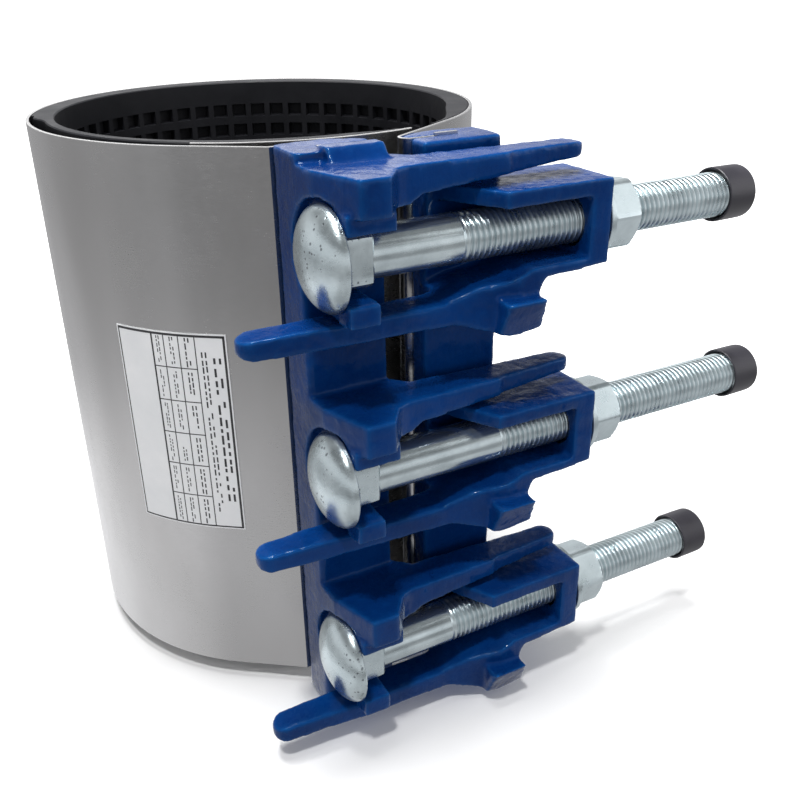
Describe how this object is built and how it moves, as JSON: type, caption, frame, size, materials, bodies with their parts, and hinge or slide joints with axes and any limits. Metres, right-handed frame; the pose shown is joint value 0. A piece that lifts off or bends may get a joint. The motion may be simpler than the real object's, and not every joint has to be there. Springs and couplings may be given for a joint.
{
  "type": "pipe repair clamp",
  "caption": "Wide stainless band pipe repair clamp with a waffle rubber gasket and a pair of cast jaws drawn together by bolts.",
  "frame": {"origin": "on the pipe's axis, at half the clamp's width", "axes": "+Z along the pipe, +X along the bolts from head to nut, jaws on the -Y side"},
  "size_m": [0.2378, 0.213, 0.2093],
  "materials": {
    "stainless": "brushed",
    "rubber": "matt",
    "blue_coating": "gloss epoxy",
    "zinc": "galvanised",
    "cap_plastic": "satin",
    "label_film": "satin"
  },
  "bodies": {
    "clamp": {"band": "stainless", "gasket": "rubber", "bridge_plate": "stainless", "head_jaw": "blue_coating", "head_fold_key": "stainless", "bolt_top": "zinc", "bolt_middle": "zinc", "bolt_bottom": "zinc", "data_label": "label_film"},
    "moving_jaw": {"nut_jaw": "blue_coating", "nut_fold_key": "stainless", "washer_top": "zinc", "washer_middle": "zinc", "washer_bottom": "zinc"},
    "top_nut": {"nut_top": "zinc"},
    "top_cap": {"cap_top": "cap_plastic"},
    "middle_nut": {"nut_middle": "zinc"},
    "middle_cap": {"cap_middle": "cap_plastic"},
    "bottom_nut": {"nut_bottom": "zinc"},
    "bottom_cap": {"cap_bottom": "cap_plastic"}
  },
  "joints": [
    {"name": "jaw_close", "type": "slide", "parent": "clamp", "child": "moving_jaw", "axis": [1, 0, 0], "range_m": [-0.009, 0.02], "deforming": ["band", "gasket"]},
    {"name": "top_nut_turn", "type": "hinge", "parent": "moving_jaw", "child": "top_nut", "pos_m": [0.0785, -0.112, 0.073], "axis": [1, 0, 0], "range_deg": [-1700, 3700]},
    {"name": "top_cap_off", "type": "slide", "parent": "clamp", "child": "top_cap", "axis": [1, 0, 0], "range_m": [0, 0.03]},
    {"name": "middle_nut_turn", "type": "hinge", "parent": "moving_jaw", "child": "middle_nut", "pos_m": [0.0785, -0.112, 0], "axis": [1, 0, 0], "range_deg": [-1700, 3700]},
    {"name": "middle_cap_off", "type": "slide", "parent": "clamp", "child": "middle_cap", "axis": [1, 0, 0], "range_m": [0, 0.03]},
    {"name": "bottom_nut_turn", "type": "hinge", "parent": "moving_jaw", "child": "bottom_nut", "pos_m": [0.0785, -0.112, -0.073], "axis": [1, 0, 0], "range_deg": [-1700, 3700]},
    {"name": "bottom_cap_off", "type": "slide", "parent": "clamp", "child": "bottom_cap", "axis": [1, 0, 0], "range_m": [0, 0.03]}
  ],
  "couplings": [
    {"joint": "top_nut_turn", "follows": "jaw_close", "rad_per_m": 3141.6},
    {"joint": "middle_nut_turn", "follows": "jaw_close", "rad_per_m": 3141.6},
    {"joint": "bottom_nut_turn", "follows": "jaw_close", "rad_per_m": 3141.6}
  ]
}
